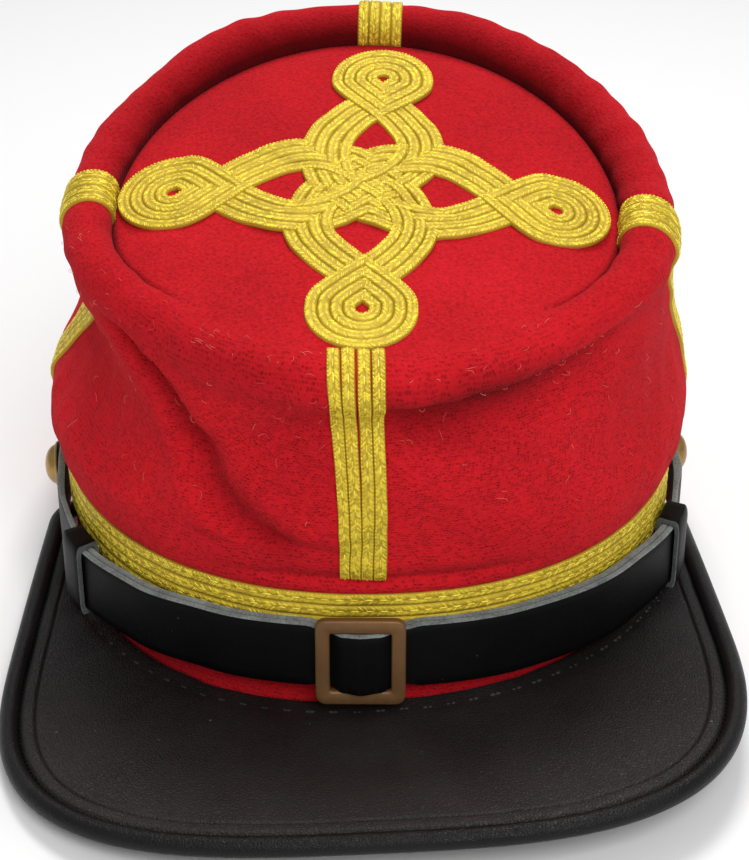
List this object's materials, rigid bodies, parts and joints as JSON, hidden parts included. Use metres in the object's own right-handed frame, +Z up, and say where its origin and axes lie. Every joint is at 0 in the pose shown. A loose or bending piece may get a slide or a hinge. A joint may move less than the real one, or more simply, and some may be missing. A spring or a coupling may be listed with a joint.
{
  "type": "kepi cap",
  "caption": "Officer's kepi: soft red wool crown sloping to the front, gold braid with a looped top knot, black leather peak and chin strap, brass buckle and buttons.",
  "frame": {"origin": "middle of the cap's outline on the ground, at the height of the band's bottom edge", "axes": "+Z up, the peak points to -Y, +X is to the right of a viewer who faces the peak"},
  "size_m": [0.1935, 0.2658, 0.1485],
  "materials": {
    "red_wool": "napped wool broadcloth, matt",
    "gold_braid": "metallic flat braid, soft gleam",
    "black_leather": "satin black with fine grain",
    "old_brass": "dull brown patina, brushed"
  },
  "bodies": {
    "root": {"band": "red_wool", "crown_side": "red_wool", "crown_top": "red_wool", "band_braid": "gold_braid", "front_braid": "gold_braid", "back_braid": "gold_braid", "left_braid": "gold_braid", "right_braid": "gold_braid", "top_knot": "gold_braid", "peak": "black_leather", "peak_binding": "black_leather", "chin_strap": "black_leather", "keeper_left": "black_leather", "keeper_right": "black_leather", "button_left": "old_brass", "button_right": "old_brass", "buckle": "old_brass"}
  },
  "joints": []
}
